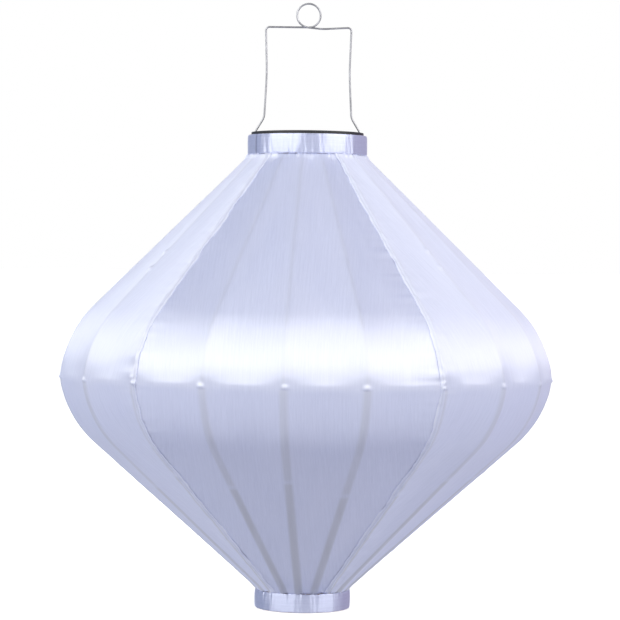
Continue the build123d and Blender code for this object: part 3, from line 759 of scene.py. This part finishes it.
def floor_material():
    """Matt white that glows far out, so the floor runs into the white behind it."""
    n = Nodes("floor_pale")
    speckle = n.span(n.noise(n.place((3, 3, 3))), 0.3, 0.7, 0.87, 0.89)
    tone = n.add("ShaderNodeCombineColor", {"Red": speckle, "Green": speckle, "Blue": speckle}).outputs[0]
    face = n.principled(
        Base_Color=tone,
        Roughness=0.9,
        Specular_IOR_Level=0.1,
        Emission_Color=(1, 1, 1, 1),
        Emission_Strength=n.span(n.size(n.place()), 0.03, 0.6, 0.5, 1.0),
    )
    return n.finish(face)


def build_stage():
    """A round pale floor that runs out past every view. It lights nothing, as the world does that."""
    rings = np.array([0.0, 0.5, 2, 6, 14, 40])[:, None]
    around = np.linspace(0, 2 * math.pi, 97)[:-1][None, :]
    points = np.stack([rings * np.cos(around), rings * np.sin(around), 0 * rings * around], -1)
    floor = grid_mesh("floor", points[::-1], closed=True)
    floor.data.materials.append(floor_material())
    floor.location.z = -0.4 * MM
    floor.visible_diffuse = False
    floor.visible_glossy = False


def area_light(name, place, aim, size, energy, colour):
    data = bpy.data.lights.new(name, "AREA")
    data.shape = "RECTANGLE"
    data.size, data.size_y = size
    data.energy = energy
    data.color = colour
    light = bpy.data.objects.new(name, data)
    light.location = place
    light.rotation_euler = (aim - place).to_track_quat("-Z", "Y").to_euler()
    bpy.context.scene.collection.objects.link(light)


def softbox(name, azimuth, elevation, size, radiance, colour=(1, 1, 1)):
    """A soft light that faces the lantern's middle. radiance is what its face shows."""
    turn, rise = math.radians(azimuth), math.radians(elevation)
    aim = Vector((0, 0, EQUATOR_Z))
    reach = Vector((math.cos(rise) * math.sin(turn), -math.cos(rise) * math.cos(turn), math.sin(rise)))
    area_light(name, aim + LIGHT_DISTANCE * reach, aim, size, radiance * math.pi * size[0] * size[1], colour)


def flag(name, azimuth, glow):
    """A tall dim card behind the lantern that the camera doesn't see. It darkens what the sides mirror."""
    turn = math.radians(azimuth)
    distance, half_width, half_height = 1.5, 1.0, 1.6
    centre = np.array([math.sin(turn) * distance, -math.cos(turn) * distance, EQUATOR_Z])
    aside = np.array([math.cos(turn), math.sin(turn), 0]) * half_width
    rows = [centre + (0, 0, rise) for rise in (-half_height, half_height)]
    card = grid_mesh(name, np.array([[row - aside, row + aside] for row in rows]))
    n = Nodes(name)
    card.data.materials.append(n.finish(n.add("ShaderNodeEmission", {"Color": (*glow, 1)}).outputs[0]))
    card.visible_camera = False


# Height up the sky, from 0 underfoot to 1 overhead, and its colour there.
SKY = (
    (0.0, (0.20, 0.20, 0.24)),
    (0.012, (0.28, 0.28, 0.33)),
    (0.06, (0.90, 0.92, 1.02)),
    (0.30, (0.87, 0.89, 0.99)),
    (0.46, (1.0, 1.0, 1.0)),
    (0.565, (1.0, 1.0, 1.0)),
    (0.615, (0.16, 0.16, 0.18)),
    (1.0, (0.14, 0.14, 0.16)),
)


def build_world():
    """A white band round the horizon, dimmer above and below."""
    world = bpy.data.worlds.new("studio")
    world.use_nodes = True
    bpy.context.scene.world = world
    tree = world.node_tree
    place = tree.nodes.new("ShaderNodeTexCoord").outputs["Generated"]
    apart = tree.nodes.new("ShaderNodeSeparateXYZ")
    span = tree.nodes.new("ShaderNodeMapRange")
    span.inputs["From Min"].default_value = -1
    ramp = tree.nodes.new("ShaderNodeValToRGB")
    tree.links.new(place, apart.inputs[0])
    tree.links.new(apart.outputs["Z"], span.inputs["Value"])
    tree.links.new(span.outputs["Result"], ramp.inputs["Fac"])
    tree.links.new(ramp.outputs["Color"], tree.nodes["Background"].inputs["Color"])
    for height, _ in SKY[2:]:
        ramp.color_ramp.elements.new(height)
    for element, (height, colour) in zip(ramp.color_ramp.elements, SKY):
        element.position = height
        element.color = (*colour, 1)


# Each side's lights: azimuth, width and colour of the four in front, and the radiance of the one behind.
SIDES = {"left": (-50, 2.7, (0.985, 1, 0.965), 1.6), "right": (62, 2.6, (1, 0.99, 0.965), 0.9)}
# The four in front overlap, so that the light fades out upwards: elevation, height and radiance.
FRONT = {"": (27, 0.9, 1.3), "_middle": (34, 1.6, 0.92), "_upper": (40, 2.1, 0.45), "_wide": (46, 2.6, 0.82)}
BACK_AZIMUTH, BACK_ELEVATION, BACK_SIZE = 145, 38, (2.0, 1.2)
LIGHT_DISTANCE = 2.2


def build_light():
    build_world()
    for side, (azimuth, width, colour, behind) in SIDES.items():
        for part, (elevation, height, radiance) in FRONT.items():
            softbox(side + part, azimuth, elevation, (width, height), radiance, colour)
        softbox(side + "_back", math.copysign(BACK_AZIMUTH, azimuth), BACK_ELEVATION, BACK_SIZE, behind)
    flag("left_flag", -128, (0.34, 0.38, 0.49))
    flag("right_flag", 128, (0.42, 0.36, 0.48))


def build_camera():
    """A little above the lantern's middle, from far off, and turned slightly about its own axis."""
    distance, height, aim_z = 2.03, 0.285, 0.241
    seen_width = 0.5024  # at the aim
    roll = math.radians(0.65)
    data = bpy.data.cameras.new("camera")
    data.sensor_width = 36
    data.lens = data.sensor_width * math.hypot(distance, height - aim_z) / seen_width
    data.clip_end = 100
    camera = bpy.data.objects.new("camera", data)
    camera.location = (0, -distance, height)
    aim = Vector((0.0036, 0, aim_z))
    look = (aim - camera.location).to_track_quat("-Z", "Y").to_matrix().to_4x4()
    camera.rotation_euler = (look @ Matrix.Rotation(roll, 4, "Z")).to_euler()
    bpy.context.scene.collection.objects.link(camera)
    bpy.context.scene.camera = camera


# ---------------------------------------------------------------- the whole scene


def main():
    bpy.context.scene.view_settings.view_transform = "Standard"
    build_camera()
    dress_nodes(node_materials())
    satin, edging, banding = panel_material(), edge_material(), collar_material()
    for number in range(PANEL_COUNT):
        cloth, edges = panel(number)
        cloth.data.materials.append(satin)
        for edge in edges:
            edge.data.materials.append(edging)
    collar("top_collar", -64, True, 41).data.materials.append(banding)
    collar("bottom_collar", 118, False, 51).data.materials.append(banding)
    build_stage()
    build_light()


main()
